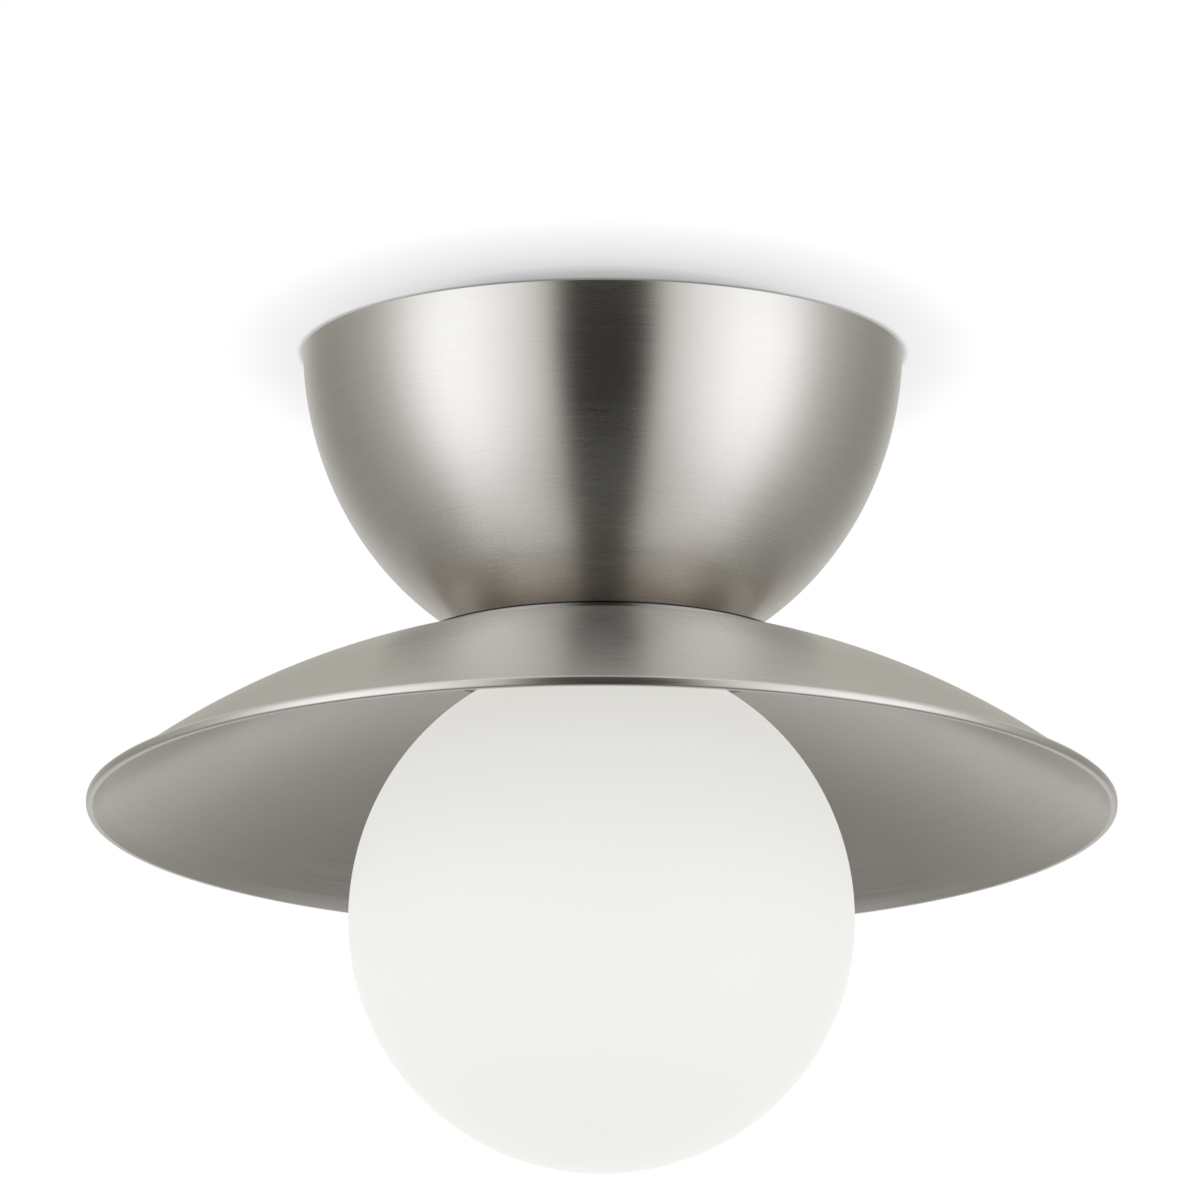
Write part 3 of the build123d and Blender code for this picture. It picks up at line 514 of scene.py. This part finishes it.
def tone_ramp(tree, share, tones, low=0.0, high=1.0, tint=(1.0, 1.0)):
    """A ramp of greys with its stops between low and high; tint holds powers of the green and
    the blue, which make shadows warmer than lights."""
    made = node(tree, "ValToRGB", Fac=share)
    elements = made.color_ramp.elements
    while len(elements) < len(tones):
        elements.new(0.5)
    for element, (place, tone) in zip(elements, tones):
        element.position = (place - low) / (high - low)
        element.color = (tone, tone ** tint[0], tone ** tint[1], 1)
    return made.outputs[0]


def length_of(tree, first, second, spare=0.0):
    """The root of two squares and a spare amount added up."""
    second_part = math(tree, "POWER", second, 2.0)
    if spare:
        second_part = math(tree, "ADD", second_part, spare)
    return math(tree, "SQRT", math(tree, "ADD", math(tree, "POWER", first, 2.0), second_part))


def ceiling_paint():
    """White paint with the light's soft shadow painted on it, seen only from below."""
    paint = bpy.data.materials.new("ceiling_paint")
    paint.use_nodes = True
    tree = paint.node_tree
    tree.nodes.clear()
    parts = node(tree, "SeparateXYZ", Vector=object_place(tree)).outputs
    reach = length_of(tree, math(tree, "DIVIDE", parts[0], shadow_side),
                      math(tree, "DIVIDE", parts[1], shadow_front))
    radius = length_of(tree, parts[0], parts[1])
    # painted shadow: a dark line at the rim and a soft oval ramp round it
    contact_shadow = spread(tree, radius, canopy_radius, canopy_radius + contact_reach, contact_shadow_tone, 1.0)
    tone = multiply_colours(tree, tone_ramp(tree, reach, shadow_tones), contact_shadow)
    glow = node(tree, "Emission", Color=tone, Strength=1.0).outputs[0]
    clear = node(tree, "BsdfTransparent").outputs[0]
    side = node(tree, "NewGeometry").outputs["Backfacing"]
    cover = node(tree, "MixShader", i0=side, i1=glow, i2=clear)
    node(tree, "OutputMaterial", Surface=cover.outputs[0])
    return paint


sheet = bpy.data.meshes.new("ceiling")
corners = [
    (x * ceiling_reach, y * ceiling_reach, ceiling_level)
    for x, y in ((-1, -1), (-1, 1), (1, 1), (1, -1))
]
sheet.from_pydata(corners, [], [(0, 1, 2, 3)])
sheet.materials.append(ceiling_paint())
ceiling = bpy.data.objects.new("ceiling", sheet)
bpy.context.scene.collection.objects.link(ceiling)
for ray in ("diffuse", "glossy", "transmission", "volume_scatter", "shadow"):
    setattr(ceiling, "visible_" + ray, False)

# ---------------------------------------------------------------- studio light
# The metal mirrors a room with a dark gap behind the camera, a soft box on each side of it
# and a pale backdrop. The first number is the bearing off the camera's side, in degrees.
bearing_tones = (
    (0, 0.012), (10, 0.012), (14, 0.032), (18, 0.145), (22, 0.40), (28, 0.59), (36, 0.73),
    (46, 0.88), (56, 0.98), (66, 1.0), (76, 0.90), (86, 0.65), (96, 0.44), (108, 0.32),
    (122, 0.255), (134, 0.245), (144, 0.28), (154, 0.37), (166, 0.49), (180, 0.54),
)
height_tones = (
    (-90, 0.09), (-75, 0.165), (-60, 0.345), (-50, 0.54), (-40, 0.75), (-25, 0.96), (10, 1.0),
    (90, 1.0),
)
overhead_tones = (        # the pale ceiling, seen by what faces up
    (0, 0.03), (12, 0.04), (18, 0.15), (26, 0.45), (40, 0.67), (60, 0.68), (80, 0.48),
    (110, 0.34), (135, 0.44), (150, 0.45), (160, 0.43), (170, 0.37), (180, 0.35),
)
overhead_start = 12       # the pale ceiling takes over between these heights, in degrees
overhead_full = 32
warmth = (1.03, 1.09)
overhead_warmth = (1.03, 1.16)
mirror_strength = 1.42
gap_bearing = -1.2        # the dark gap stands a little to the right of the camera
diffuse_tones = ((-90, 0.35), (-60, 0.55), (-30, 0.90), (0, 1.0), (90, 1.0))
least_square = 1e-6       # keeps the bearing finite straight up and down


def height_share(turn):
    """A height over the horizon in degrees, as a share of the way up from straight down."""
    return 0.5 + turn / 180


def studio_world():
    """Camera and transmission rays see white, glossy rays the studio, and all others a soft
    light that is even from the horizon up and falls to about a third straight down."""
    world = bpy.data.worlds.new("studio")
    world.use_nodes = True
    tree = world.node_tree
    tree.nodes.clear()
    turned = node(tree, "VectorRotate", {"rotation_type": "Z_AXIS"}, Angle=radians(gap_bearing),
                  Vector=node(tree, "TexCoord").outputs["Generated"])
    parts = node(tree, "SeparateXYZ", Vector=turned.outputs[0]).outputs
    flat = length_of(tree, parts[0], parts[1], least_square)
    ahead = math(tree, "DIVIDE", math(tree, "MULTIPLY", parts[1], -1.0), flat)
    bearing = math(tree, "DIVIDE", math(tree, "ARCCOSINE", ahead), pi)
    rise = math(tree, "DIVIDE", math(tree, "ARCSINE", parts[2]), pi)
    height = math(tree, "ADD", rise, 0.5)

    low, high = height_share(overhead_start), height_share(overhead_full)
    upward = spread(tree, height, low, high, 0.0, 1.0)
    around = tone_ramp(tree, bearing, bearing_tones, 0, 180, warmth)
    mirrored = multiply_colours(tree, around,
                                tone_ramp(tree, height, height_tones, -90, 90, warmth))
    pale = tone_ramp(tree, bearing, overhead_tones, 0, 180, overhead_warmth)
    reflected = mix_colours(tree, upward, mirrored, pale)

    evenly = tone_ramp(tree, height, diffuse_tones, -90, 90, warmth)
    room = node(tree, "Background", Color=reflected, Strength=mirror_strength).outputs[0]
    soft = node(tree, "Background", Color=evenly, Strength=1.0).outputs[0]
    white = node(tree, "Background", Color=(1, 1, 1, 1), Strength=1.0).outputs[0]
    rays = node(tree, "LightPath").outputs
    lit = node(tree, "MixShader", i0=rays["Is Glossy Ray"], i1=soft, i2=room).outputs[0]
    direct = math(tree, "MAXIMUM", rays["Is Camera Ray"], rays["Is Transmission Ray"])
    seen = node(tree, "MixShader", i0=direct, i1=lit, i2=white).outputs[0]
    node(tree, "OutputWorld", Surface=seen)
    return world


bpy.context.scene.world = studio_world()

# ---------------------------------------------------------------- camera
frame_width = 0.4139      # what the picture's 1200 pixels span at the light's axis
camera_tilt = radians(14)
camera_roll = radians(0.122)    # fitted to the near rim and the canopy, which lean to the right
camera_distance = 18.9
sensor_width = 36.0
aim = Vector((-0.00076, 0, -0.08754))

lens = bpy.data.cameras.new("camera")
camera = bpy.data.objects.new("camera", lens)
bpy.context.scene.collection.objects.link(camera)
lens.sensor_width = sensor_width
lens.lens = sensor_width * camera_distance / frame_width
lens.clip_end = 2 * camera_distance
view_line = Vector((0, cos(camera_tilt), sin(camera_tilt)))
camera.location = aim - camera_distance * view_line
camera.rotation_mode = "QUATERNION"
upright = view_line.to_track_quat("-Z", "Y")
camera.rotation_quaternion = upright @ Quaternion((0, 0, 1), camera_roll)
bpy.context.scene.camera = camera
bpy.context.scene.view_settings.view_transform = "Standard"
